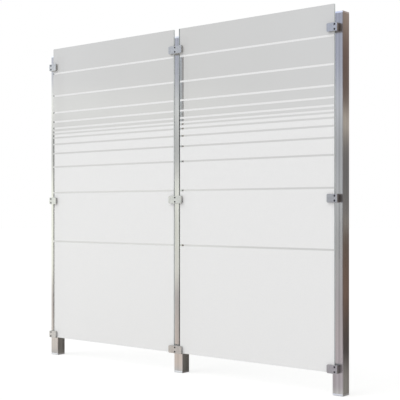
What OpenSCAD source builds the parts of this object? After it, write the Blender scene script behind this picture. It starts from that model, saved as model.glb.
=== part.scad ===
// Glass privacy fence: two panes of satin-striped safety glass, clamped in front
// of three square stainless posts.
// X runs along the fence, Y is its depth with the glass on the -Y side, Z is up.
// The origin is the middle of the middle post's foot, at ground level.

/* [Glass] */
// Width of one pane
glass_w = 1000; // [600:10:1500]
// Height of one pane
glass_h = 1800; // [900:10:2100]
// Thickness of a pane
glass_t = 10; // [6:1:16]
// Rounding of a pane's four corners
glass_corner_r = 3; // [1:0.5:10]
// Gap between the ground and a pane's lower edge
ground_gap = 113.5; // [60:0.5:200]
// Gap between the two panes, in front of the middle post
pane_gap = 37; // [28:1:60]
// Distance from an outer pane edge to the centre-line of its end post
end_inset = 9; // [6:0.5:20]
// How far the panes stand up above the post tops
glass_rise = 36.5; // [0:0.5:80]

/* [Posts] */
// Width and depth of the square tube
post_w = 60; // [50:1:90]
// Wall of the tube
post_wall = 3; // [2:0.5:5]
// Outside rounding of the tube's four long edges
post_edge_r = 3; // [1:0.5:5]
// Height of the cap plate on top of the tube
cap_t = 8; // [3:0.5:20]
// Height of the foot block under the tube
foot_t = 10; // [5:0.5:25]
// Length of the plug that cap and foot push into the tube
plug_l = 18; // [8:1:40]
// Gap between a plug and the inside of the tube
plug_clear = 0.3; // [0.1:0.05:1]

/* [Clamps] */
// Height of a clamp
clamp_h = 42; // [38:1:70]
// Rounding of a clamp's corners
clamp_r = 6; // [2:0.5:15]
// How far a wing of a middle clamp reaches over its pane
grip_middle = 28.5; // [20:0.5:60]
// How far an end clamp reaches over its pane
grip_end = 36; // [20:0.5:60]
// How far an end clamp reaches past the centre-line of its post
end_reach = 15; // [8:0.5:20]
// Thickness of the clamp base that lies on the post
base_t = 5; // [3:0.5:10]
// Thickness of the front plate
plate_t = 11; // [8:0.5:15]
// Thickness of each rubber pad
pad_t = 2; // [1:0.5:4]
// How far a pad stays back from the outline of its clamp
pad_inset = 1; // [0.5:0.5:3]
// Gap between a pane's edge and the web of the clamp
edge_clear = 2; // [1:0.5:4]
// Height of the lowest clamp's centre above the lower edge of the glass
low_clamp_in = 18.5; // [10:0.5:200]
// Depth of the highest clamp's centre below the top edge of the glass
high_clamp_in = 115.5; // [80:0.5:300]

/* [Screws] */
// Thread diameter of a clamp screw
screw_d = 6; // [4:0.5:8]
// Diameter of a screw's head
head_d = 10; // [8:0.5:12]
// Height of a screw's head
head_h = 3; // [2:0.5:4]
// Width across the flats of the hexagon socket
socket_af = 5; // [3:0.5:6]
// Depth of the hexagon socket
socket_depth = 2; // [1:0.5:2.5]
// Height between the two screws of a clamp
screw_pitch = 24; // [16:1:28]
// Floor of the front plate under a screw's head
head_floor = 4; // [2:0.5:5]
// Gap around a screw's head and shank
screw_clear = 0.4; // [0.2:0.1:1]
// How far a screw's end comes out inside the tube
screw_end = 6; // [2:1:12]

/* [Hidden] */
POST_NAMES = ["left", "middle", "right"];
LEVEL_NAMES = ["bottom", "centre", "top"];
round_fn = 48;

// Distance between two posts' centre-lines
pitch = glass_w + pane_gap / 2 + end_inset;
post_x = [-pitch, 0, pitch];

// Heights
glass_top = ground_gap + glass_h;
post_top = glass_top - glass_rise;
low_z = ground_gap + low_clamp_in;
high_z = glass_top - high_clamp_in;
level_z = [low_z, (low_z + high_z) / 2, high_z];
tube_l = post_top - cap_t - foot_t;

// Layers of a clamp, as depths in front of the posts' front faces
front_y = -post_w / 2;
glass_back = base_t + pad_t;
glass_front = glass_back + glass_t;
plate_back = glass_front + pad_t;
plate_front = plate_back + plate_t;
head_seat = plate_back + head_floor;

// Inside width of the tube, and the width of what is pushed into it
bore_w = post_w - 2 * post_wall;
plug_w = bore_w - 2 * plug_clear;
bore_edge_r = max(post_edge_r - post_wall, 0.5);

// Reach of the clamps and their webs to either side of a post's centre-line,
// with the pane's edge between them
half_gap = pane_gap / 2;
middle_reach = half_gap + grip_middle;
middle_web = half_gap - edge_clear;
end_grip = end_inset + grip_end;
end_web = end_inset - edge_clear;

// Each clamp as [inner end, outer end, web's inner end, web's outer end, pane edges],
// measured along X from the centre-line of its post
CLAMPS = [
    [-end_reach, end_grip, -end_reach, end_web, [end_inset]],
    [-middle_reach, middle_reach, -middle_web, middle_web, [-half_gap, half_gap]],
    [-end_grip, end_reach, -end_web, end_reach, [-end_inset]]
];

// ---------- shared outlines ----------

// A rectangle from [x0, y0] to [x1, y1] with round corners
module round_rect(x0, y0, x1, y1, r) {
    translate([x0 + r, y0])
        square([x1 - x0 - 2 * r, y1 - y0]);
    translate([x0, y0 + r])
        square([x1 - x0, y1 - y0 - 2 * r]);
    for (x = [x0 + r, x1 - r], y = [y0 + r, y1 - r])
        translate([x, y])
            circle(r, $fn = round_fn);
}

// Raises an X-Z outline from depth d0 to depth d1 in front of the posts
module in_front(d0, d1) {
    translate([0, front_y - d0, 0])
        rotate([90, 0, 0])
            linear_extrude(d1 - d0)
                children();
}

// A square bar or plate that stands on the post's axis
module square_bar(w, h, r) {
    linear_extrude(h)
        round_rect(-w / 2, -w / 2, w / 2, w / 2, r);
}

// A round hole or pin along Y from depth d0 to depth d1, at height z
module along_y(d, z, d0, d1) {
    translate([0, front_y - d0, z])
        rotate([90, 0, 0])
            cylinder(d = d, h = d1 - d0, $fn = round_fn);
}

// Places its children at both screws of a clamp
module at_screws() {
    for (side = [-1, 1])
        translate([0, 0, side * screw_pitch / 2])
            children();
}

// ---------- posts ----------

// Square tube, with a hole through its front wall for every clamp screw
module post() {
    color("#b9bcc0")
        difference() {
            translate([0, 0, foot_t])
                square_bar(post_w, tube_l, post_edge_r);
            translate([0, 0, foot_t - 1])
                square_bar(bore_w, tube_l + 2, bore_edge_r);
            for (z = level_z)
                translate([0, 0, z])
                    at_screws()
                        along_y(screw_d + screw_clear, 0, -post_wall - 1, 1);
        }
}

// Flat cap that closes the top of the tube
module cap() {
    color("#c9cbce") {
        translate([0, 0, post_top - cap_t])
            square_bar(post_w, cap_t, post_edge_r);
        translate([0, 0, post_top - cap_t - plug_l])
            square_bar(plug_w, plug_l, bore_edge_r);
    }
}

// Foot block that closes the bottom of the tube and stands on the ground
module foot() {
    color("#c9cbce") {
        square_bar(post_w, foot_t, post_edge_r);
        square_bar(plug_w, foot_t + plug_l, bore_edge_r);
    }
}

// ---------- glass ----------

// One pane, from its left edge at X = 0
module pane() {
    color("#d6dedd", 0.6)
        in_front(glass_back, glass_front)
            round_rect(0, ground_gap, glass_w, glass_top, glass_corner_r);
}

// ---------- clamps ----------

// Outline of a clamp from x0 to x1 about its own centre height, drawn in by inset
module clamp_outline(x0, x1, inset = 0) {
    half_h = clamp_h / 2 - inset;
    round_rect(x0 + inset, -half_h, x1 - inset, half_h, clamp_r - inset);
}

// Body: a base on the post, and a web that fills the gap beside the glass
module clamp_body(c) {
    color("#b4b8bc")
        difference() {
            union() {
                in_front(0, base_t)
                    clamp_outline(c[0], c[1]);
                in_front(0, plate_back)
                    intersection() {
                        clamp_outline(c[0], c[1]);
                        translate([c[2], -clamp_h])
                            square([c[3] - c[2], 2 * clamp_h]);
                    }
            }
            at_screws()
                along_y(screw_d + screw_clear, 0, -1, plate_back + 1);
        }
}

// Front plate, with a sunk seat for each screw's head
module clamp_plate(c) {
    color("#c3c6ca")
        difference() {
            in_front(plate_back, plate_front)
                clamp_outline(c[0], c[1]);
            at_screws() {
                along_y(screw_d + screw_clear, 0, plate_back - 1, plate_front);
                along_y(head_d + screw_clear, 0, head_seat, plate_front + 1);
            }
        }
}

// Rubber pads behind and in front of each pane that the clamp holds
module clamp_pads(c) {
    color("#2b2c2e")
        for (edge = c[4], d = [base_t, glass_front])
            in_front(d, d + pad_t)
                intersection() {
                    clamp_outline(c[0], c[1], pad_inset);
                    if (edge > 0)
                        translate([edge, -clamp_h])
                            square([c[1], 2 * clamp_h]);
                    else
                        translate([edge + c[0], -clamp_h])
                            square([-c[0], 2 * clamp_h]);
                }
}

// ---------- screws ----------

// Low-head screw with a hexagon socket, through plate, body and tube wall
module screw() {
    color("#3a3d42")
        difference() {
            union() {
                along_y(screw_d, 0, -post_wall - screw_end, head_seat);
                along_y(head_d, 0, head_seat, head_seat + head_h);
            }
            translate([0, front_y - head_seat - head_h + socket_depth, 0])
                rotate([90, 0, 0])
                    cylinder(d = socket_af / cos(30), h = socket_depth + 1, $fn = 6);
        }
}

module post_screws() {
    for (z = level_z)
        translate([0, 0, z])
            at_screws()
                screw();
}

// ---------- nodes ----------

for (i = [0:2]) {
    translate([post_x[i], 0, 0]) {
        post();
        cap();
        foot();
        post_screws();
    }
    for (k = [0:2])
        translate([post_x[i], 0, level_z[k]]) {
            place = str(POST_NAMES[i], "_", LEVEL_NAMES[k]);
            clamp_body(CLAMPS[i]);
            clamp_plate(CLAMPS[i]);
            clamp_pads(CLAMPS[i]);
        }
}
translate([-half_gap - glass_w, 0, 0]) pane();  // glass_left
translate([half_gap, 0, 0]) pane();  // glass_right
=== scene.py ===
# %% [markdown]
# # A glass privacy fence
# Two big panes of safety glass stand in front of three square stainless posts, and nine
# clamps hold them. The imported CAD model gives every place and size. This file dresses it:
# eased edges on the metal, satin stripes on the glass, screws, rubber and light.

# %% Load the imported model
import math

import bmesh
import bpy
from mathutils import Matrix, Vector


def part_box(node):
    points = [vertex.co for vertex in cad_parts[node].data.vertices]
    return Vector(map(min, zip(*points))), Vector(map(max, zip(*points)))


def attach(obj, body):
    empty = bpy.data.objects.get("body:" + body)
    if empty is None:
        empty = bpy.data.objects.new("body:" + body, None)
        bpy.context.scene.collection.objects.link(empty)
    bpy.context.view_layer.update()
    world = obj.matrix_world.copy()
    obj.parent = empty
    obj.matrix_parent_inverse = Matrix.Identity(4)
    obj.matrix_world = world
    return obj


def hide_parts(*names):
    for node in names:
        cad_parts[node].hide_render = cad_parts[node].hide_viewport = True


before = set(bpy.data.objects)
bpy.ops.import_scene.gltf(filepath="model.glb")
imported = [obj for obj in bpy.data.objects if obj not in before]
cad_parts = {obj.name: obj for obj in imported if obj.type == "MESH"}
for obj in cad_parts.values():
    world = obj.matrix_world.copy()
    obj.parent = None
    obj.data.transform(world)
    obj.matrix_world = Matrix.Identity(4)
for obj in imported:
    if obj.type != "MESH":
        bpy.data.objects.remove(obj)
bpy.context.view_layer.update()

# %% [markdown]
# Colours are written as sRGB hex values, the way a paint chart gives them, but shaders
# work on linear light, so one function turns them. Materials here are trees of nodes,
# and one small function adds a node with its settings and its links.


# %% Colours and nodes
def linear(hex_colour):
    """Linear RGBA from an sRGB hex value."""
    parts = [int(hex_colour[i:i + 2], 16) / 255 for i in (1, 3, 5)]
    light = [p / 12.92 if p <= 0.04045 else ((p + 0.055) / 1.055) ** 2.4 for p in parts]
    return (*light, 1.0)


def add(tree, kind, inputs=None, stops=None, **settings):
    """Adds a node. inputs gives, for a socket's name or number, a value or the output linked to it.
    stops gives a colour ramp its (place, colour) pairs."""
    node = tree.nodes.new(kind)
    for key, value in settings.items():
        setattr(node, key, value)
    for key, value in (inputs or {}).items():
        if isinstance(value, bpy.types.NodeSocket):
            tree.links.new(value, node.inputs[key])
        else:
            node.inputs[key].default_value = value
    for number, (place, colour) in enumerate(stops or ()):
        elements = node.color_ramp.elements
        stop = elements[number] if number < len(elements) else elements.new(1.0)
        stop.position = place
        stop.color = colour
    return node


def empty_material(name):
    """A material with no nodes yet, and its tree."""
    material = bpy.data.materials.new(name)
    material.use_nodes = True
    material.node_tree.nodes.clear()
    return material, material.node_tree


# Nearly all of a noise lies between these two values
NOISE_LOW = 0.3
NOISE_HIGH = 0.7


def streaks(tree, size, detail=2.0):
    """Noise from 0 to 1, whose grains measure size = (x, y, z) in metres."""
    place = add(tree, "ShaderNodeTexCoord").outputs["Object"]
    scaled = add(tree, "ShaderNodeMapping", {"Vector": place, "Scale": [1 / s for s in size]})
    noise = add(tree, "ShaderNodeTexNoise",
                {"Vector": scaled.outputs["Vector"], "Scale": 1.0, "Detail": detail})
    spread = add(tree, "ShaderNodeMapRange",
                 {"Value": noise.outputs["Fac"], "From Min": NOISE_LOW, "From Max": NOISE_HIGH})
    return spread.outputs["Result"]


print("middle grey in linear light:", round(linear("#808080")[0], 3))


# %% [markdown]
# The camera looks at the fence from the right, at waist height, with a long lens and no
# tilt, so that the posts stay upright in the picture. A small shift lifts the view instead.

# %% Camera
CAMERA_PLACE = (3.39843, -3.96185, 0.90499)
# Degrees to the left of a view along +Y
CAMERA_TURN = 39.501
# Focal length in millimetres, and the shift as a share of the picture's width
CAMERA_LENS = 83.794
CAMERA_SHIFT = 0.02616

camera = bpy.data.objects.new("camera", bpy.data.cameras.new("camera"))
bpy.context.scene.collection.objects.link(camera)
camera.location = CAMERA_PLACE
camera.rotation_euler = (math.radians(90), 0, math.radians(CAMERA_TURN))
camera.data.lens = CAMERA_LENS
camera.data.sensor_width = 36
camera.data.shift_y = CAMERA_SHIFT
camera.data.clip_end = 200
bpy.context.scene.camera = camera
print("camera height:", camera.location.z)

# %% [markdown]
# The room is white: whatever the camera or a ray through the glass meets behind the fence
# is white at strength 1. The light itself is a plain, even sky of a little less than full
# strength, with one broad soft lamp from the front left that gives the shapes their side.

# %% World and lamp
SKY_LIGHT = 0.72
LAMP_LIGHT = 0.9
# How wide the lamp is, in degrees, and the way in which its light goes
LAMP_SPREAD = 50
LAMP_WAY = (0.45, 0.75, -0.9)


def seen_directly(tree):
    """1 for a ray from the camera or through glass, and 0 for one that brings light."""
    seen = add(tree, "ShaderNodeLightPath")
    direct = add(tree, "ShaderNodeMath",
                 {0: seen.outputs["Is Camera Ray"], 1: seen.outputs["Is Transmission Ray"]},
                 operation="MAXIMUM")
    return direct.outputs[0]


world = bpy.data.worlds.new("white room")
bpy.context.scene.world = world
world.use_nodes = True
room = world.node_tree
room.nodes.clear()
light = add(room, "ShaderNodeBackground", {"Color": linear("#F6F8FA"), "Strength": SKY_LIGHT})
white = add(room, "ShaderNodeBackground", {"Color": linear("#FFFFFF"), "Strength": 1.0})
either = add(room, "ShaderNodeMixShader",
             {0: seen_directly(room), 1: light.outputs[0], 2: white.outputs[0]})
add(room, "ShaderNodeOutputWorld", {"Surface": either.outputs[0]})

lamp = bpy.data.objects.new("soft lamp", bpy.data.lights.new("soft lamp", "SUN"))
bpy.context.scene.collection.objects.link(lamp)
lamp.data.energy = LAMP_LIGHT
lamp.data.angle = math.radians(LAMP_SPREAD)
lamp.rotation_euler = Vector(LAMP_WAY).to_track_quat("-Z", "Y").to_euler()

bpy.context.scene.view_settings.view_transform = "Standard"
print("sky", SKY_LIGHT, "lamp", LAMP_LIGHT)

# %% [markdown]
# The floor is a wide pale disc. It lifts itself to white where the camera or the glass
# looks at it, and keeps the soft shadow of the fence, because only part of its brightness
# is its own. Metal mirrors the ground of the next cell instead.

# %% Floor
FLOOR_RADIUS = 40.0
# The part of the floor's brightness that is its own
FLOOR_GLOW = 0.65
# Sides of a round stage piece
ROUND_SIDES = 96


def placed(name, shape):
    """Puts a finished shape in the scene as an object."""
    mesh = bpy.data.meshes.new(name)
    shape.to_mesh(mesh)
    shape.free()
    piece = bpy.data.objects.new(name, mesh)
    bpy.context.scene.collection.objects.link(piece)
    return piece


def disc(name, radius, height):
    """A flat round stage piece, not part of the fence."""
    shape = bmesh.new()
    bmesh.ops.create_circle(shape, cap_ends=True, radius=radius, segments=ROUND_SIDES)
    bmesh.ops.translate(shape, verts=shape.verts, vec=(0, 0, height))
    piece = placed(name, shape)
    return piece


floor = disc("floor", FLOOR_RADIUS, 0)
floor.visible_glossy = False

pale_floor, tree = empty_material("pale studio floor")
matt = add(tree, "ShaderNodeBsdfDiffuse", {"Color": linear("#F0EFED")})
half_matt = add(tree, "ShaderNodeBsdfDiffuse", {"Color": linear("#B8B7B5")})
glow = add(tree, "ShaderNodeEmission", {"Color": linear("#FFFFFF"), "Strength": FLOOR_GLOW})
lifted = add(tree, "ShaderNodeAddShader", {0: half_matt.outputs[0], 1: glow.outputs[0]})
either = add(tree, "ShaderNodeMixShader",
             {0: seen_directly(tree), 1: matt.outputs[0], 2: lifted.outputs[0]})
add(tree, "ShaderNodeOutputMaterial", {"Surface": either.outputs[0]})
floor.data.materials.append(pale_floor)
print("floor radius:", FLOOR_RADIUS)

# %% [markdown]
# Steel looks like what it mirrors. Photographers stand pale boards on one side of it and
# dark ones on the other, so that the two faces of a square post part clearly. Here one
# round screen and a disc of ground do that, and only mirrored rays see them. In front is
# an open, slightly blue sky above a pale wall, with a white board low on the left. To the
# far right and behind stands a brown hedge, with a pale gap above eye height.

# %% Screen and ground that only metal sees
SCREEN_RADIUS = 3.0
SCREEN_HEIGHT = 6.0
# How far the mirrored ground lies above the floor
GROUND_LIFT = 0.0005


def only_mirrored(piece):
    """Hides a stage piece from every ray that isn't a mirrored one."""
    for kind in ("camera", "diffuse", "transmission", "volume_scatter", "shadow"):
        setattr(piece, "visible_" + kind, False)


shape = bmesh.new()
bmesh.ops.create_cone(shape, cap_ends=False, segments=ROUND_SIDES, radius1=SCREEN_RADIUS,
                      radius2=SCREEN_RADIUS, depth=SCREEN_HEIGHT)
bmesh.ops.translate(shape, verts=shape.verts, vec=(0, 0, SCREEN_HEIGHT / 2))
screen = placed("mirrored screen", shape)
ground = disc("mirrored ground", SCREEN_RADIUS, GROUND_LIFT)
only_mirrored(screen)
only_mirrored(ground)
print("mirrored screen:", SCREEN_RADIUS, "m radius,", SCREEN_HEIGHT, "m high")

# %% Colours of the screen
# Up the screen, by height in metres
OPEN_SIDE = ((0.0, "#BDB8B6"), (0.35, "#B9B6B7"), (0.6, "#6C6E77"), (1.2, "#BEC2C7"),
             (1.47, "#9CA0A4"), (1.78, "#F0F5F5"), (2.0, "#B8BDC8"), (2.5, "#BDC4D3"),
             (6.0, "#BDC4D3"))
HEDGE_SIDE = ((0.0, "#4A4744"), (0.3, "#8A7367"), (0.73, "#6E6259"), (0.78, "#B4AFA9"),
              (0.92, "#8B8B8C"), (1.42, "#7C7C80"), (1.5, "#F6EEE3"), (1.6, "#F6EEE3"),
              (1.66, "#72635F"), (2.1, "#84706A"), (2.36, "#C0B2A8"))
# Brightness and tint round the open side, by direction in degrees from +X
AROUND = ((60, "#565656"), (110, "#77797B"), (150, "#989B9E"), (175, "#FFFFFF"),
          (213, "#FFFFFF"), (230, "#BEBEBE"), (262, "#DDE2F2"), (292, "#565656"))
# What the product of these two is multiplied by
OPEN_LIGHT = 2.0
# Share of the hedge, by direction in degrees
HEDGE_PART = ((75, 1), (110, 0), (285, 0), (320, 1))
# Share of a white board, and of a pale wall above it: by direction, and by height
BOARD_AROUND = ((180, 0.35), (222, 1), (232, 1), (246, 0))
BOARD_UP = ((0.2, 0), (0.4, 1), (1.1, 1), (1.4, 0.18), (1.9, 0.34), (2.05, 0))
# The board is brighter than white, so its colour is given in linear light
BOARD_COLOUR = (2.00, 2.09, 1.92, 1.0)
print("stops up and round the screen:", len(OPEN_SIDE), len(HEDGE_SIDE), len(AROUND))


# %% Material of the screen
def grey(value):
    """A grey of a linear brightness, as a colour."""
    return (value, value, value, 1.0)


mirrored, tree = empty_material("boards that the metal mirrors")
place = add(tree, "ShaderNodeSeparateXYZ", {0: add(tree, "ShaderNodeTexCoord").outputs["Object"]})
turn = add(tree, "ShaderNodeMath", {0: place.outputs["Y"], 1: place.outputs["X"]},
           operation="ARCTAN2")
for step in ("ADD", "MODULO", "DIVIDE"):
    turn = add(tree, "ShaderNodeMath", {0: turn.outputs[0], 1: math.tau}, operation=step)
rise = add(tree, "ShaderNodeMath", {0: place.outputs["Z"], 1: SCREEN_HEIGHT}, operation="DIVIDE")
around = add(tree, "ShaderNodeValToRGB", {0: turn.outputs[0]},
             stops=[(d / 360, linear(c)) for d, c in AROUND])
sky = add(tree, "ShaderNodeValToRGB", {0: rise.outputs[0]},
          stops=[(h / SCREEN_HEIGHT, linear(c)) for h, c in OPEN_SIDE])
hedge = add(tree, "ShaderNodeValToRGB", {0: rise.outputs[0]},
            stops=[(h / SCREEN_HEIGHT, linear(c)) for h, c in HEDGE_SIDE])
part = add(tree, "ShaderNodeValToRGB", {0: turn.outputs[0]},
           stops=[(d / 360, grey(v)) for d, v in HEDGE_PART])
beside = add(tree, "ShaderNodeValToRGB", {0: turn.outputs[0]},
             stops=[(d / 360, grey(v)) for d, v in BOARD_AROUND])
upward = add(tree, "ShaderNodeValToRGB", {0: rise.outputs[0]},
             stops=[(h / SCREEN_HEIGHT, grey(v)) for h, v in BOARD_UP])
board = add(tree, "ShaderNodeMath", {0: beside.outputs[0], 1: upward.outputs[0]},
            operation="MULTIPLY")
open_side = add(tree, "ShaderNodeMix", {"Factor": 1.0, 6: around.outputs[0], 7: sky.outputs[0]},
                data_type="RGBA", blend_type="MULTIPLY")
lit_side = add(tree, "ShaderNodeVectorMath", {0: open_side.outputs[2], "Scale": OPEN_LIGHT},
               operation="SCALE")
boarded = add(tree, "ShaderNodeMix",
              {"Factor": board.outputs[0], 6: lit_side.outputs[0], 7: BOARD_COLOUR},
              data_type="RGBA")
whole = add(tree, "ShaderNodeMix",
            {"Factor": part.outputs[0], 6: boarded.outputs[2], 7: hedge.outputs[0]},
            data_type="RGBA")
shining = add(tree, "ShaderNodeEmission", {"Color": whole.outputs[2], "Strength": 1.0})
add(tree, "ShaderNodeOutputMaterial", {"Surface": shining.outputs[0]})
screen.data.materials.append(mirrored)
mirrored.cycles.emission_sampling = "NONE"
print("screen material:", len(tree.nodes), "nodes")

# %% [markdown]
# In front of the posts the mirrored ground is pale, brightest to the left, with a row of
# whiter slabs along the fence. Behind them it is dark, with a paler ring of paving.

# %% Material of the mirrored ground
# Colours of the pale ground by X - GROUND_SLANT * Y in metres, what they are multiplied by,
# and half the length that they are spread over
PALE_GROUND = ((-1.2, "#FAF6F2"), (-0.62, "#908A84"), (-0.3, "#E8DCD2"), (1.0, "#B4AFB8"))
GROUND_SLANT = 0.6
PALE_GROUND_LIGHT = 1.4
GROUND_HALF = 2.5
# The slabs' colour, and the two Y between which they set in, towards the fence
SLAB_COLOUR = "#CDCED0"
SLABS = (-0.2, -0.1)
# Colours of the dark ground by distance from the middle post, and the two Y between which
# it sets in
DARK_GROUND = ((0.8, "#62615D"), (1.1, "#9B9995"), (1.65, "#989591"), (1.95, "#403E3C"))
BEHIND = (-0.05, -0.03)

mirrored_ground, tree = empty_material("ground that the metal mirrors")
spot = add(tree, "ShaderNodeTexCoord").outputs["Object"]
place = add(tree, "ShaderNodeSeparateXYZ", {0: spot})
slanted = add(tree, "ShaderNodeMath",
              {0: place.outputs["Y"], 1: -GROUND_SLANT, 2: place.outputs["X"]},
              operation="MULTIPLY_ADD")
across = add(tree, "ShaderNodeMapRange",
             {"Value": slanted.outputs[0], "From Min": -GROUND_HALF, "From Max": GROUND_HALF})
pale = add(tree, "ShaderNodeValToRGB", {0: across.outputs[0]},
           stops=[(x / (2 * GROUND_HALF) + 0.5, linear(c)) for x, c in PALE_GROUND])
flat = add(tree, "ShaderNodeCombineXYZ", {"X": place.outputs["X"], "Y": place.outputs["Y"]})
reach = add(tree, "ShaderNodeVectorMath", {0: flat.outputs[0]}, operation="LENGTH")
reach = add(tree, "ShaderNodeMath", {0: reach.outputs["Value"], 1: SCREEN_RADIUS},
            operation="DIVIDE")
dark = add(tree, "ShaderNodeValToRGB", {0: reach.outputs[0]},
           stops=[(r / SCREEN_RADIUS, linear(c)) for r, c in DARK_GROUND])
behind = add(tree, "ShaderNodeMapRange",
             {"Value": place.outputs["Y"], "From Min": BEHIND[0], "From Max": BEHIND[1]})
slabs = add(tree, "ShaderNodeMapRange",
            {"Value": place.outputs["Y"], "From Min": SLABS[0], "From Max": SLABS[1]})
paved = add(tree, "ShaderNodeMix",
            {"Factor": slabs.outputs[0], 6: pale.outputs[0], 7: linear(SLAB_COLOUR)},
            data_type="RGBA")
lit = add(tree, "ShaderNodeVectorMath", {0: paved.outputs[2], "Scale": PALE_GROUND_LIGHT},
          operation="SCALE")
both = add(tree, "ShaderNodeMix",
           {"Factor": behind.outputs[0], 6: lit.outputs[0], 7: dark.outputs[0]},
           data_type="RGBA")
shining = add(tree, "ShaderNodeEmission", {"Color": both.outputs[2], "Strength": 1.0})
add(tree, "ShaderNodeOutputMaterial", {"Surface": shining.outputs[0]})
ground.data.materials.append(mirrored_ground)
mirrored_ground.cycles.emission_sampling = "NONE"
print("mirrored ground radius:", SCREEN_RADIUS)

# %% [markdown]
# The posts are brushed stainless steel tube. The belt runs along the tube, so the grain
# stands upright: what the steel mirrors is smeared sideways and stays crisp up and down.
# The real grain is a tenth of a millimetre wide, too fine to show here, so it is drawn
# about 3 mm wide. Drawing the tube leaves wider paler and darker marks along it, and a
# third, broad noise in the roughness stands for wiped-off rain and finger marks. Caps and
# foot blocks are brushed across. The clamps' plates are cast and blasted to an even satin.
# Their bases behind the glass stay raw, and are darker both as raw casting and as painted
# shade between glass and post. The screws are turned, and their steel is darkened as
# painted shade for their recesses.


# %% Stainless steel
# Size of the wiped marks in metres, and the most that they add to the roughness
WIPED_SIZE = (0.09, 0.09, 0.35)
WIPED_ROUGHNESS = 0.06
# Strength of the bump that the grain gives
STEEL_RELIEF = 0.1


def steel(name, dark, light, grain, drawn, rough, anisotropy=0.0, turn=0.0, depth=0.0002):
    """Stainless steel with grains and wider drawing marks of given (x, y, z) sizes in metres,
    a roughness range, and the grain's depth in metres. turn is 0 for an upright grain and
    0.25 for one that lies across."""
    material, tree = empty_material(name)
    fine = streaks(tree, grain)
    broad = streaks(tree, WIPED_SIZE, detail=3.0)
    marks = streaks(tree, drawn, detail=1.0)
    colour = add(tree, "ShaderNodeMix", {"Factor": marks, 6: linear(dark), 7: linear(light)},
                 data_type="RGBA")
    scratched = add(tree, "ShaderNodeMapRange",
                    {"Value": fine, "To Min": rough[0], "To Max": rough[1]})
    wiped = add(tree, "ShaderNodeMath", {0: broad, 1: WIPED_ROUGHNESS, 2: scratched.outputs[0]},
                operation="MULTIPLY_ADD")
    relief = add(tree, "ShaderNodeBump",
                 {"Height": fine, "Strength": STEEL_RELIEF, "Distance": depth})
    tangent = add(tree, "ShaderNodeTangent", direction_type="RADIAL", axis="Z")
    metal = add(tree, "ShaderNodeBsdfPrincipled", {
        "Base Color": colour.outputs[2], "Metallic": 1.0, "Roughness": wiped.outputs[0],
        "Anisotropic": anisotropy, "Anisotropic Rotation": turn,
        "Normal": relief.outputs["Normal"], "Tangent": tangent.outputs[0]})
    add(tree, "ShaderNodeOutputMaterial", {"Surface": metal.outputs[0]})
    return material


print("wiped marks:", WIPED_SIZE, "m")

# %% Steels of the fence
# Blasted and raw castings have the same round grain, with soft clouds in it
CAST_GRAIN = (0.0025, 0.0025, 0.0025)
CAST_CLOUDS = (0.008, 0.008, 0.008)

brushed_post_steel = steel("upright brushed stainless steel", "#C0BDB9", "#D7D4D0",
                           grain=(0.003, 0.003, 0.5), drawn=(0.011, 0.011, 1.6),
                           rough=(0.23, 0.35), anisotropy=0.9)
brushed_cap_steel = steel("cross brushed stainless steel", "#E7E8ED", "#F3F4F7",
                          grain=(0.05, 0.05, 0.002), drawn=(0.03, 0.03, 0.006),
                          rough=(0.25, 0.35), anisotropy=0.8, turn=0.25)
cast_clamp_steel = steel("satin blasted cast stainless steel", "#B3B2B0", "#C0BFBD",
                         grain=CAST_GRAIN, drawn=CAST_CLOUDS, rough=(0.31, 0.43))
# Darker than the plates: raw casting, and painted shade between glass and post
raw_clamp_steel_painted_shade = steel("raw cast stainless steel with painted shade", "#8C8B8C", "#9A999A",
                        grain=CAST_GRAIN, drawn=CAST_CLOUDS, rough=(0.36, 0.48))
# Darker than stainless steel is: painted shade for the screws' recesses
screw_steel_painted_shade = steel("turned screw steel darkened as painted shade", "#6B6E72", "#7F8286",
                           grain=(0.002, 0.002, 0.002), drawn=(0.004, 0.004, 0.004),
                           rough=(0.19, 0.29), depth=0.0001)
print("steels:", [m.name for m in bpy.data.materials if "steel" in m.name])

# %% [markdown]
# EPDM rubber pads lie between metal and glass. Rubber is black, dull and very slightly
# mottled, so it draws a dark line round each clamp.

# %% Rubber
# Size and depth of the mottling in metres, and the strength of its bump
MOTTLE_SIZE = (0.004, 0.004, 0.004)
MOTTLE_DEPTH = 0.0003
RUBBER_RELIEF = 0.12

clamp_rubber, tree = empty_material("black EPDM rubber")
mottle = streaks(tree, MOTTLE_SIZE)
relief = add(tree, "ShaderNodeBump",
             {"Height": mottle, "Strength": RUBBER_RELIEF, "Distance": MOTTLE_DEPTH})
colour = add(tree, "ShaderNodeMix",
             {"Factor": mottle, 6: linear("#1E1F20"), 7: linear("#2E2F30")}, data_type="RGBA")
dull = add(tree, "ShaderNodeMapRange", {"Value": mottle, "To Min": 0.55, "To Max": 0.7})
rubber = add(tree, "ShaderNodeBsdfPrincipled", {
    "Base Color": colour.outputs[2], "Roughness": dull.outputs[0],
    "Normal": relief.outputs["Normal"]})
add(tree, "ShaderNodeOutputMaterial", {"Surface": rubber.outputs[0]})
print("rubber:", clamp_rubber.name)
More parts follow.
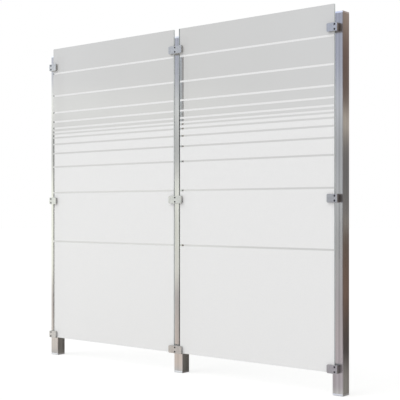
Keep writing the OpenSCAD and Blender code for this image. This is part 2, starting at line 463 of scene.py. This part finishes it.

# %% [markdown]
# The panes are 10 mm safety glass, made from float glass and finished on the front face
# only. A thin grey enamel veils it, so that what stands behind is hardly seen, and bands of
# white satin etch cross it. Both start a few millimetres from a pane's left end, where the
# glass is left polished, and beside the middle post a thin haze takes the place of the veil.
# From behind, veil and etch glow with the light that falls on their front, which a
# Translucent shader gives. The ground ends are pale from outside. Where one looks at them
# through the glass their colour is painted shade: dark, and lighter towards the top with
# painted light, as if daylight fell into the pane.
#
# Cycles would stop lamp rays and diffuse rays at a refracting pane, so those pass it
# straight. What metal mirrors passes clear glass and the back of the finishes, and meets
# only their outside: that is what makes the sides of the clamps' plates pale.


# %% Glass and what metal mirrors
def mirrored_past(tree, shader, share):
    """Puts a shader on the output, and lets a share of the rays that metal mirrors pass it."""
    seen = add(tree, "ShaderNodeLightPath")
    mirrored = add(tree, "ShaderNodeMath",
                   {0: seen.outputs["Is Glossy Ray"], 1: seen.outputs["Is Transmission Ray"]},
                   operation="GREATER_THAN")
    passes = add(tree, "ShaderNodeMath", {0: mirrored.outputs[0], 1: share}, operation="MULTIPLY")
    nothing = add(tree, "ShaderNodeBsdfTransparent", {"Color": linear("#FFFFFF")})
    either = add(tree, "ShaderNodeMixShader",
                 {0: passes.outputs[0], 1: shader, 2: nothing.outputs[0]})
    add(tree, "ShaderNodeOutputMaterial", {"Surface": either.outputs[0]})


# %% Float glass and its finishes
GLASS_IOR = 1.52
# Strength of the bump that etch and frost give
GLASS_RELIEF = 0.08


def glass(name, dark, light, rough, transmission, shade, grain, depth=0.0, glow=0.0):
    """Float glass. transmission is the share of light that isn't scattered at its skin, shade
    the colour that it gives to lamp light, and glow the share of the scattered light that
    comes through to the back of that skin."""
    material, tree = empty_material(name)
    cloud = streaks(tree, grain)
    colour = add(tree, "ShaderNodeMix", {"Factor": cloud, 6: linear(dark), 7: linear(light)},
                 data_type="RGBA")
    dull = add(tree, "ShaderNodeMapRange",
               {"Value": cloud, "To Min": rough[0], "To Max": rough[1]})
    relief = add(tree, "ShaderNodeBump",
                 {"Height": cloud, "Strength": GLASS_RELIEF, "Distance": depth})
    body = add(tree, "ShaderNodeBsdfPrincipled", {
        "Base Color": colour.outputs[2], "Roughness": dull.outputs[0], "IOR": GLASS_IOR,
        "Transmission Weight": transmission, "Normal": relief.outputs["Normal"]})
    through = add(tree, "ShaderNodeBsdfTranslucent", {"Color": colour.outputs[2]})
    from_inside = add(tree, "ShaderNodeNewGeometry").outputs["Backfacing"]
    share = add(tree, "ShaderNodeMath", {0: from_inside, 1: glow}, operation="MULTIPLY")
    skin = add(tree, "ShaderNodeMixShader",
               {0: share.outputs[0], 1: body.outputs[0], 2: through.outputs[0]})
    passing = add(tree, "ShaderNodeBsdfTransparent", {"Color": linear(shade)})
    seen = add(tree, "ShaderNodeLightPath")
    lights = add(tree, "ShaderNodeMath",
                 {0: seen.outputs["Is Shadow Ray"], 1: seen.outputs["Is Diffuse Ray"]},
                 operation="MAXIMUM")
    shader = add(tree, "ShaderNodeMixShader",
                 {0: lights.outputs[0], 1: skin.outputs[0], 2: passing.outputs[0]})
    clear = add(tree, "ShaderNodeMath", {0: from_inside, 1: transmission}, operation="MAXIMUM")
    mirrored_past(tree, shader.outputs[0], clear.outputs[0])
    return material


# Polished and enamelled glass only varies over hundreds of millimetres
EVEN = (0.4, 0.4, 0.9)

polished_glass = glass("polished float glass", "#F4F7F6", "#F8FAF9", rough=(0.0, 0.02),
                       transmission=1.0, shade="#F4F6F5", grain=EVEN)
hazed_glass = glass("thinly hazed float glass", "#B9BBBA", "#C0C2C1", rough=(0.4, 0.5),
                    transmission=0.74, shade="#D8DAD9", grain=(0.05, 0.05, 0.2), glow=0.5)
veiled_glass = glass("grey enamelled float glass", "#DBDAD8", "#DDDCDA", rough=(0.06, 0.12),
                     transmission=0.03, shade="#D8D8D8", grain=EVEN, glow=0.7)
satin_glass = glass("satin etched float glass", "#F4F3F2", "#F8F7F6", rough=(0.5, 0.62),
                    transmission=0.03, shade="#D0D0D0", grain=(0.003, 0.003, 0.003),
                    depth=0.0001, glow=0.7)
print("glass index of refraction:", GLASS_IOR)

# %% Ground ends of the panes
# Size and depth of the frosting in metres
FROST_SIZE = (0.004, 0.004, 0.02)
FROST_DEPTH = 0.0001
# Depths below a pane's top edge over which painted daylight fades out of its ground end
PAINTED_DAYLIGHT_FULL = 0.15
PAINTED_DAYLIGHT_ENDS = 0.51

ground_end_and_painted_shade, tree = empty_material("ground glass end with painted shade")
frost = streaks(tree, FROST_SIZE)
relief = add(tree, "ShaderNodeBump",
             {"Height": frost, "Strength": GLASS_RELIEF, "Distance": FROST_DEPTH})
outside = add(tree, "ShaderNodeMix",
              {"Factor": frost, 6: linear("#D8DDDB"), 7: linear("#E4E9E7")}, data_type="RGBA")
dull = add(tree, "ShaderNodeMapRange", {"Value": frost, "To Min": 0.35, "To Max": 0.5})
place = add(tree, "ShaderNodeSeparateXYZ", {0: add(tree, "ShaderNodeTexCoord").outputs["Object"]})
glass_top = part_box("glass_left")[1].z
# Seen through the glass the end is painted shade, lightened towards the top by painted light
painted_daylight_share = add(tree, "ShaderNodeMapRange", {
    "Value": place.outputs["Z"], "From Min": glass_top - PAINTED_DAYLIGHT_ENDS,
    "From Max": glass_top - PAINTED_DAYLIGHT_FULL})
painted_inside_shade = add(tree, "ShaderNodeMix",
             {"Factor": painted_daylight_share.outputs[0], 6: linear("#0B100E"), 7: linear("#C6CAC9")},
             data_type="RGBA")
end_colour_with_painted_shade = add(tree, "ShaderNodeMix", {
    "Factor": add(tree, "ShaderNodeNewGeometry").outputs["Backfacing"], 6: outside.outputs[2],
    7: painted_inside_shade.outputs[2]}, data_type="RGBA")
skin = add(tree, "ShaderNodeBsdfPrincipled", {
    "Base Color": end_colour_with_painted_shade.outputs[2], "Roughness": dull.outputs[0], "IOR": GLASS_IOR,
    "Normal": relief.outputs["Normal"]})
mirrored_past(tree, skin.outputs[0], 1.0)
print("glass:", [m.name for m in bpy.data.materials if "glass" in m.name])

# %% [markdown]
# A saw or a mould never leaves a perfectly sharp edge, and an eased edge is what catches
# a line of light. Each metal part is therefore a copy of its CAD solid: the loose triangles
# are merged, flat areas dissolved back into whole faces, and every sharp edge is bevelled.
# The flat faces have to stay flat in the mirror too, so at every corner the big face gives
# the normal, and the rounded edge turns away from it.


# %% Clean copies of CAD parts, and their normals
# Points closer than this are one point, in metres
SAME_POINT = 1e-6
# Angles between two faces: up to which they are one flat face, up to which light runs
# smoothly over their edge, and above which that edge is sharp
FLAT = math.radians(0.5)
SMOOTH = math.radians(35)
SHARP = math.radians(40)


def cleaned(node):
    """The solid of a CAD node with its corners merged and its flat areas whole."""
    solid = bmesh.new()
    solid.from_mesh(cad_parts[node].data)
    bmesh.ops.remove_doubles(solid, verts=solid.verts, dist=SAME_POINT)
    bmesh.ops.dissolve_limit(solid, angle_limit=FLAT, verts=solid.verts, edges=solid.edges)
    return solid


def round_over(solid, ease, segments):
    """Bevels every sharp edge of a solid."""
    edges = [e for e in solid.edges if len(e.link_faces) == 2 and e.calc_face_angle(0) > SHARP]
    bmesh.ops.bevel(solid, geom=edges, offset=ease, offset_type="OFFSET", segments=segments,
                    profile=0.5, affect="EDGES", clamp_overlap=True)


def shade(mesh):
    """Each corner takes the mean normal of the faces that it runs into smoothly, and big
    faces count most."""
    faces_at = [[] for _ in mesh.vertices]
    for face in mesh.polygons:
        face.use_smooth = True
        for vertex in face.vertices:
            faces_at[vertex].append(face)
    least = math.cos(SMOOTH)
    normals = []
    for face in mesh.polygons:
        for vertex in face.vertices:
            near = [f for f in faces_at[vertex] if f.normal.dot(face.normal) > least]
            normals.append(sum((f.normal * f.area for f in near), Vector()).normalized())
    mesh.normals_split_custom_set(normals)


print("edges eased above", round(math.degrees(SHARP)), "degrees")


# %% Metal and rubber pieces
def make_piece(name, mesh, materials, nodes):
    """Puts a finished mesh in the scene as a piece that stands for CAD nodes."""
    piece = bpy.data.objects.new(name, mesh)
    bpy.context.scene.collection.objects.link(piece)
    for material in materials:
        mesh.materials.append(material)
    shade(mesh)
    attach(piece, "root")
    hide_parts(*nodes)
    return piece


def eased(name, nodes, ease, material, segments=2):
    """One piece from several CAD nodes, with every sharp edge rounded over."""
    mesh = bpy.data.meshes.new(name)
    whole = bmesh.new()
    for node in nodes:
        solid = cleaned(node)
        round_over(solid, ease, segments)
        solid.to_mesh(mesh)
        solid.free()
        whole.from_mesh(mesh)
    whole.to_mesh(mesh)
    whole.free()
    return make_piece(name, mesh, [material], nodes)


POSTS = ("left", "middle", "right")
LEVELS = ("bottom", "centre", "top")
# How wide the edges are eased, in metres: on tube and raw castings, on finished plates and
# blocks, and on rubber
TUBE_EASE = 0.0008
PLATE_EASE = 0.0012
PAD_EASE = 0.0004
for post in POSTS:
    eased(f"tube_{post}", [f"post_{post}"], TUBE_EASE, brushed_post_steel)
    eased(f"cap_plate_{post}", [f"cap_{post}"], PLATE_EASE, brushed_cap_steel)
    eased(f"foot_block_{post}", [f"foot_{post}"], PLATE_EASE, brushed_cap_steel)
    eased(f"clamp_bases_{post}", [f"clamp_body_{post}_{level}" for level in LEVELS],
          TUBE_EASE, raw_clamp_steel_painted_shade)
    eased(f"clamp_fronts_{post}", [f"clamp_plate_{post}_{level}" for level in LEVELS],
          PLATE_EASE, cast_clamp_steel, segments=3)
    eased(f"clamp_rubbers_{post}", [f"clamp_pads_{post}_{level}" for level in LEVELS],
          PAD_EASE, clamp_rubber)

# %% [markdown]
# The pattern on the panes follows one idea: from veiled at the top to satin at the bottom,
# by stripes that crowd together towards the change. Above it they are satin on grey, below
# it grey on satin. A painted mask would blur at the stripes' edges, so the pane is cut
# along every edge of a stripe and along its margin, and each field of the front face gets
# its own finish. The etch stops a little short of a pane's left end, and so does the veil
# beside the middle post. Below the first stripe the veil thins to a haze there, as far as
# the clamps grip the glass, so that the post shows softly through it, and the grey stripes
# further down leave the glass bare. The left end's back edge is ground 4 mm wide, and the
# painted shade of the ground finish draws a dark line along that end where one sees it
# through the glass.

# %% Stripes and margins of a pane
# Height of a stripe, and the depths of their middles below a pane's top edge
STRIPE = 0.010
SATIN_STRIPES = (0.154, 0.294, 0.398, 0.4555, 0.496, 0.5205)
GREY_STRIPES = (0.5305, 0.5555, 0.5955, 0.653, 0.737, 0.8975, 1.201)
# Depth at which the pane changes from veiled to satin
CHANGE = 0.5255
# Widths from a pane's left end: the bare glass, the ground back edge, and the haze
BARE_MARGIN = 0.009
BACK_ARRIS = 0.004
HAZE_MARGIN = {"left": 0.0, "right": 0.036}
# Width of the eased edges all round, and what a face's normal has along Y at least, if
# the face belongs to the front or the back and not to the rim
ARRIS = 0.0008
FACES_FRONT = 0.9
GLASS_FINISHES = (polished_glass, hazed_glass, veiled_glass, satin_glass, ground_end_and_painted_shade)
POLISHED, HAZED, VEILED, SATIN, GROUND = range(5)


def finish_at(depth):
    """The finish of the front face at a depth below the pane's top edge."""
    stripes = SATIN_STRIPES if depth < CHANGE else GREY_STRIPES
    on_stripe = any(abs(depth - s) < STRIPE / 2 for s in stripes)
    return SATIN if on_stripe == (depth < CHANGE) else VEILED


def finish_of(face, low, high, haze_margin):
    """The finish of one face of a pane."""
    middle = face.calc_center_median()
    if abs(face.normal.y) < FACES_FRONT or (face.normal.y > 0 and middle.x < low.x + BACK_ARRIS):
        return GROUND
    if face.normal.y > 0:
        return POLISHED
    depth = high.z - middle.z
    finish = finish_at(depth)
    if middle.x < low.x + BARE_MARGIN and (haze_margin or finish == SATIN):
        return POLISHED
    if middle.x < low.x + haze_margin and finish == VEILED and depth > SATIN_STRIPES[0]:
        return HAZED if depth < CHANGE else POLISHED
    return finish


print("stripes:", len(SATIN_STRIPES), "satin and", len(GREY_STRIPES), "grey")


# %% Panes
def pane(side):
    """One pane with eased edges, banded by its stripes."""
    node = f"glass_{side}"
    low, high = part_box(node)
    solid = cleaned(node)
    round_over(solid, ARRIS, segments=1)
    cuts = [((0, 0, high.z - s + half), (0, 0, 1))
            for s in SATIN_STRIPES + GREY_STRIPES for half in (-STRIPE / 2, STRIPE / 2)]
    margins = [m for m in (BACK_ARRIS, BARE_MARGIN, HAZE_MARGIN[side]) if m]
    cuts += [((low.x + margin, 0, 0), (1, 0, 0)) for margin in margins]
    for place, facing in cuts:
        everything = solid.verts[:] + solid.edges[:] + solid.faces[:]
        bmesh.ops.bisect_plane(solid, geom=everything, dist=SAME_POINT, plane_co=place,
                               plane_no=facing)
    for face in solid.faces:
        face.material_index = finish_of(face, low, high, HAZE_MARGIN[side])
    mesh = bpy.data.meshes.new(f"pane_{side}")
    solid.to_mesh(mesh)
    solid.free()
    print(f"pane {side}: {len(mesh.polygons)} faces,",
          f"{high.x - low.x:.3f} by {high.z - low.z:.3f} m")
    make_piece(f"pane_{side}", mesh, GLASS_FINISHES, [node])


for side in ("left", "right"):
    pane(side)

# %% [markdown]
# Each clamp is closed by two low-head screws with a hexagon socket. A turned part is a row
# of rings about its axis, so one screw is lofted from rings of points, round for the head
# and hexagonal for the socket.

# %% One screw
HEAD_RADIUS = 0.005
HEAD_HEIGHT = 0.003
SHANK_RADIUS = 0.003
SOCKET_FLATS = 0.005
SOCKET_DEPTH = 0.002
# Rounding of the head's rim, and chamfers of the shank's tip and of the socket
HEAD_EASE = 0.0006
TIP_EASE = 0.0005
SOCKET_EASE = 0.0003
# How far the middle of a rounding stays from its corner, as a share of its radius
ROUND_SHARE = 0.3
# Points on a ring
RING = 36


def ring(solid, radius, y, hexagonal=False):
    """A ring of points about the Y axis, on a circle or on a hexagon of that inner radius."""
    points = []
    for i in range(RING):
        angle = math.tau * i / RING
        reach = radius
        if hexagonal:
            reach = radius / math.cos((angle % (math.tau / 6)) - math.tau / 12)
        points.append(solid.verts.new((reach * math.cos(angle), y, reach * math.sin(angle))))
    return points


def screw_mesh(shank_length):
    """A screw along Y with its seat at Y = 0 and its head towards -Y."""
    solid = bmesh.new()
    flat = SOCKET_FLATS / 2
    turned_in = HEAD_EASE * ROUND_SHARE
    rings = [
        ring(solid, SHANK_RADIUS - TIP_EASE, shank_length),
        ring(solid, SHANK_RADIUS, shank_length - TIP_EASE),
        ring(solid, SHANK_RADIUS, 0),
        ring(solid, HEAD_RADIUS, 0),
        ring(solid, HEAD_RADIUS, -HEAD_HEIGHT + HEAD_EASE),
        ring(solid, HEAD_RADIUS - turned_in, -HEAD_HEIGHT + turned_in),
        ring(solid, HEAD_RADIUS - HEAD_EASE, -HEAD_HEIGHT),
        ring(solid, flat + SOCKET_EASE, -HEAD_HEIGHT, hexagonal=True),
        ring(solid, flat, -HEAD_HEIGHT + SOCKET_EASE, hexagonal=True),
        ring(solid, flat, -HEAD_HEIGHT + SOCKET_DEPTH, hexagonal=True),
    ]
    for one, other in zip(rings, rings[1:]):
        for i in range(RING):
            j = (i + 1) % RING
            solid.faces.new((one[i], one[j], other[j], other[i]))
    solid.faces.new(rings[0])
    solid.faces.new(rings[-1])
    bmesh.ops.recalc_face_normals(solid, faces=solid.faces)
    mesh = bpy.data.meshes.new("screw")
    solid.to_mesh(mesh)
    solid.free()
    return mesh


low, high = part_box("screws_middle")
SEAT_Y = low.y + HEAD_HEIGHT
one_screw = bpy.data.objects.new("one screw", screw_mesh(high.y - SEAT_Y))
print("screw:", len(one_screw.data.polygons), "faces,",
      round(1000 * (high.y - low.y), 1), "mm long")

# %% [markdown]
# The same screw repeats eighteen times at regular places, which is work for Geometry Nodes:
# a line of points for the clamps of a post, a pair of points at each, and a screw at every
# point.

# %% Screws of a post
SCREW_PITCH = 0.024
CLAMPS_ON_POST = 3
SCREWS_IN_CLAMP = 2


def screw_tree():
    """Node tree that sets pairs of screws at every clamp of a post."""
    tree = bpy.data.node_groups.new("clamp screws", "GeometryNodeTree")
    face = tree.interface
    face.new_socket("Geometry", in_out="INPUT", socket_type="NodeSocketGeometry")
    for name, kind in (("Screw", "Object"), ("Lowest screw", "Vector"), ("Clamp spacing", "Float"),
                       ("Screw pitch", "Float"), ("Clamps", "Int"), ("Finish", "Material")):
        face.new_socket(name, in_out="INPUT", socket_type="NodeSocket" + kind)
    face.new_socket("Geometry", in_out="OUTPUT", socket_type="NodeSocketGeometry")
    given = add(tree, "NodeGroupInput").outputs
    step = add(tree, "ShaderNodeCombineXYZ", {"Z": given["Clamp spacing"]})
    clamps = add(tree, "GeometryNodeMeshLine", {
        "Count": given["Clamps"], "Start Location": given["Lowest screw"],
        "Offset": step.outputs[0]})
    apart = add(tree, "ShaderNodeCombineXYZ", {"Z": given["Screw pitch"]})
    pair = add(tree, "GeometryNodeMeshLine", {"Count": SCREWS_IN_CLAMP, "Offset": apart.outputs[0]})
    pairs = add(tree, "GeometryNodeInstanceOnPoints",
                {"Points": clamps.outputs[0], "Instance": pair.outputs[0]})
    points = add(tree, "GeometryNodeRealizeInstances", {0: pairs.outputs[0]})
    screw = add(tree, "GeometryNodeObjectInfo", {"Object": given["Screw"]})
    screws = add(tree, "GeometryNodeInstanceOnPoints",
                 {"Points": points.outputs[0], "Instance": screw.outputs["Geometry"]})
    real = add(tree, "GeometryNodeRealizeInstances", {0: screws.outputs[0]})
    finished = add(tree, "GeometryNodeSetMaterial",
                   {"Geometry": real.outputs[0], "Material": given["Finish"]})
    add(tree, "NodeGroupOutput", {0: finished.outputs[0]})
    return tree


def grown(tree, values):
    """The plain mesh that a Geometry Nodes tree makes with the given inputs."""
    holder = bpy.data.objects.new("holder", bpy.data.meshes.new("holder"))
    bpy.context.scene.collection.objects.link(holder)
    modifier = holder.modifiers.new("nodes", "NODES")
    modifier.node_group = tree
    for socket in tree.interface.items_tree:
        if socket.in_out == "INPUT" and socket.name in values:
            modifier[socket.identifier] = values[socket.name]
    evaluated = holder.evaluated_get(bpy.context.evaluated_depsgraph_get())
    mesh = bpy.data.meshes.new_from_object(evaluated)
    bpy.data.objects.remove(holder)
    return mesh


clamp_screws = screw_tree()
for post in POSTS:
    low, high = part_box(f"screws_{post}")
    first = low.z + HEAD_RADIUS
    last = high.z - HEAD_RADIUS - SCREW_PITCH
    mesh = grown(clamp_screws, {
        "Screw": one_screw, "Lowest screw": ((low.x + high.x) / 2, SEAT_Y, first),
        "Clamp spacing": (last - first) / (CLAMPS_ON_POST - 1), "Screw pitch": SCREW_PITCH,
        "Clamps": CLAMPS_ON_POST, "Finish": screw_steel_painted_shade})
    mesh.materials.clear()
    make_piece(f"clamp_screws_{post}", mesh, [screw_steel_painted_shade],
               [f"screws_{post}"])
    print(f"screws {post}: {len(mesh.polygons)} faces")
bpy.data.objects.remove(one_screw)
